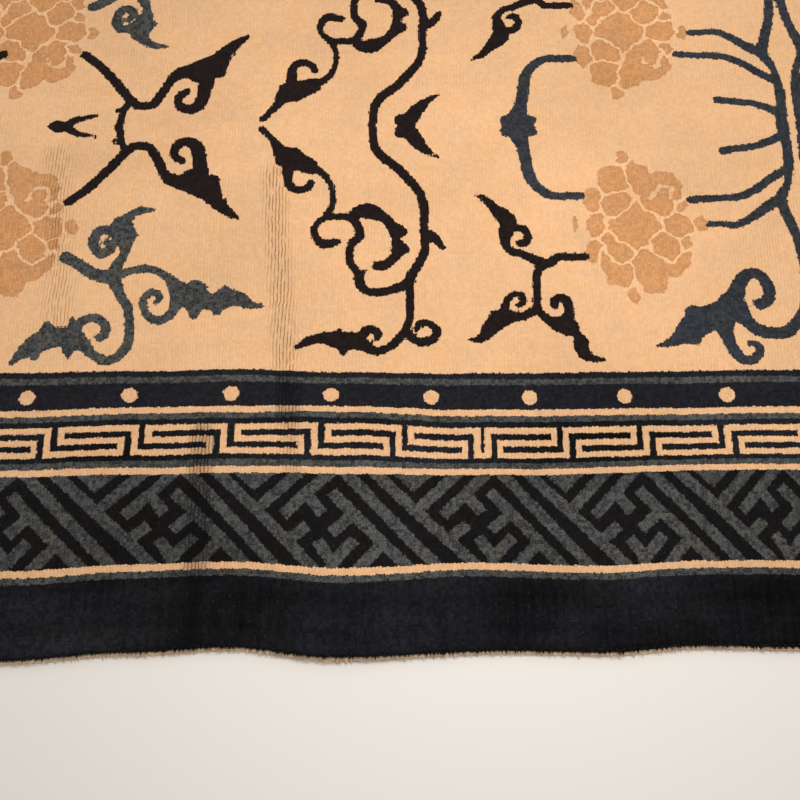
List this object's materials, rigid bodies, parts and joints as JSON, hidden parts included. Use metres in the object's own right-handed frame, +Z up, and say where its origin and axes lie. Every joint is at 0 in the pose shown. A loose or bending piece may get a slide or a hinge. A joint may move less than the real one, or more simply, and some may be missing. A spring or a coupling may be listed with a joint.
{
  "type": "wool rug",
  "caption": "Room-size knotted wool rug lying flat: camel field with scrolling vines and lotus blossoms, navy borders with pearls, a key fret and an interlocking fret.",
  "frame": {"origin": "on the floor under the middle of the rug's box", "axes": "+Y along the rug's length, away from the end that the picture shows; +X along its width, to the right seen from that end; +Z up out of the pile"},
  "size_m": [2.44, 3.0498, 0.0134],
  "materials": {
    "wool_pile": "clipped wool pile, camel and navy, dull with a slight nap sheen",
    "cotton_web": "undyed cotton warp and weft, darkened by age"
  },
  "bodies": {
    "root": {"pile_rug": "wool_pile"}
  },
  "joints": []
}
